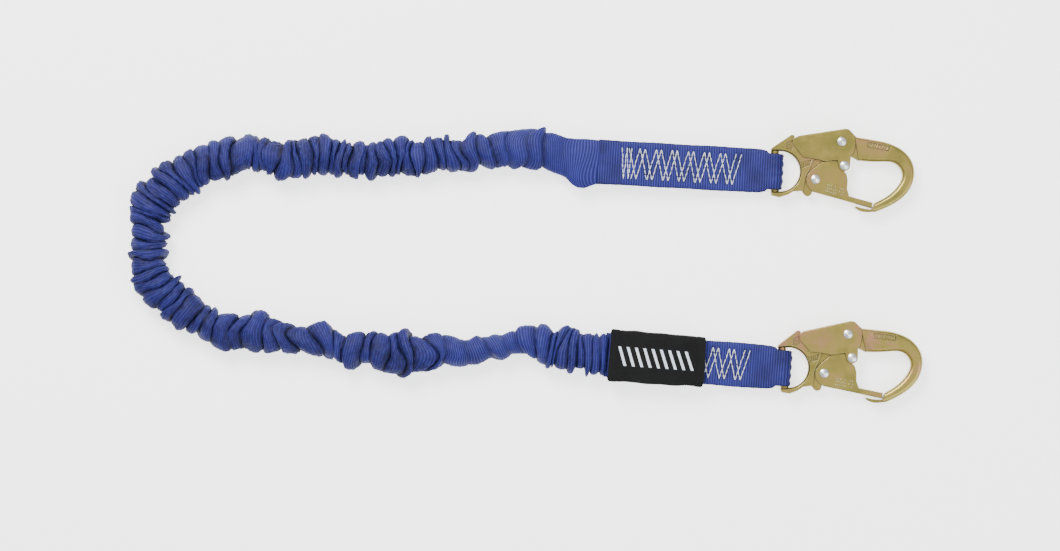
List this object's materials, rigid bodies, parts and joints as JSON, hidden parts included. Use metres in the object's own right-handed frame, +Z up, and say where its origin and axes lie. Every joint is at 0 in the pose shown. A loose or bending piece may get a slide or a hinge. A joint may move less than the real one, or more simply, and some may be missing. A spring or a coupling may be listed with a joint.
{
  "type": "shock absorbing lanyard",
  "caption": "Fall-arrest lanyard of gathered tubular webbing over an internal shock-absorbing core, with a self-locking snap hook sewn into each end.",
  "frame": {"origin": "centre of the footprint on the surface the lanyard lies on", "axes": "+X along the two legs of the U towards the hooks, +Y towards hook A, +Z up"},
  "size_m": [0.6786, 0.2336, 0.028],
  "materials": {
    "webbing": "woven polyester webbing with fine cross ribs",
    "absorber_yarn": "undyed partly oriented polyester yarn",
    "elastic": "latex cord",
    "thread": "bonded polyester thread",
    "label": "printed label cloth",
    "sleeve_fabric": "black coated fabric",
    "hook_a_zinc": "yellow zinc chromate on forged and pressed steel",
    "hook_b_zinc": "yellow zinc chromate with a pink cast",
    "rivet": "bright zinc",
    "spring_wire": "spring steel wire"
  },
  "bodies": {
    "lanyard": {"jacket": "webbing", "absorber_core": "absorber_yarn", "elastic_strands": "elastic", "strap_a": "webbing", "strap_b": "webbing", "stitching_a": "thread", "stitching_b": "thread", "label_pack": "label"},
    "label_sleeve": {"label_sleeve": "sleeve_fabric"},
    "hook_a": {"hook_a_body": "hook_a_zinc", "hook_a_gate_rivet": "rivet", "hook_a_lever_rivet": "rivet", "hook_a_gate_spring": "spring_wire", "hook_a_lever_spring": "spring_wire"},
    "gate_a": {"hook_a_gate": "hook_a_zinc"},
    "lever_a": {"hook_a_lock_lever": "hook_a_zinc", "hook_a_lock_pin": "rivet"},
    "hook_b": {"hook_b_body": "hook_b_zinc", "hook_b_gate_rivet": "rivet", "hook_b_lever_rivet": "rivet", "hook_b_gate_spring": "spring_wire", "hook_b_lever_spring": "spring_wire"},
    "gate_b": {"hook_b_gate": "hook_b_zinc"},
    "lever_b": {"hook_b_lock_lever": "hook_b_zinc", "hook_b_lock_pin": "rivet"}
  },
  "joints": [
    {"name": "hook_a_swing", "type": "hinge", "parent": "lanyard", "child": "hook_a", "pos_m": [0.2137, 0.0802, 0.0081], "axis": [0, -1, 0], "range_deg": [-110, 110]},
    {"name": "hook_a_gate_open", "type": "hinge", "parent": "hook_a", "child": "gate_a", "pos_m": [0.2479, 0.0737, 0.0081], "axis": [0, 0, 1], "range_deg": [0, 25], "stiffness_Nm_per_rad": 0.25, "springref_deg": -28.65},
    {"name": "hook_a_lever_squeeze", "type": "hinge", "parent": "hook_a", "child": "lever_a", "pos_m": [0.2702, 0.1057, 0.0081], "axis": [0, 0, 1], "range_deg": [0, 12.5], "stiffness_Nm_per_rad": 0.35, "springref_deg": -17.19},
    {"name": "hook_b_swing", "type": "hinge", "parent": "lanyard", "child": "hook_b", "pos_m": [0.2208, -0.0873, 0.0081], "axis": [0.0645, -0.9979, 0], "range_deg": [-110, 110]},
    {"name": "hook_b_gate_open", "type": "hinge", "parent": "hook_b", "child": "gate_b", "pos_m": [0.25535, -0.09158, 0.0081], "axis": [0, 0, 1], "range_deg": [0, 25], "stiffness_Nm_per_rad": 0.25, "springref_deg": -28.65},
    {"name": "hook_b_lever_squeeze", "type": "hinge", "parent": "hook_b", "child": "lever_b", "pos_m": [0.27554, -0.05821, 0.0081], "axis": [0, 0, 1], "range_deg": [0, 12.5], "stiffness_Nm_per_rad": 0.35, "springref_deg": -17.19},
    {"name": "label_sleeve_slide", "type": "slide", "parent": "lanyard", "child": "label_sleeve", "axis": [0.9963, -0.0763, -0.0392], "range_m": [0, 0.04]}
  ],
  "couplings": [
    {"joint": "hook_a_lever_squeeze", "follows": "hook_a_gate_open", "ratio": 0.5},
    {"joint": "hook_b_lever_squeeze", "follows": "hook_b_gate_open", "ratio": 0.5}
  ]
}
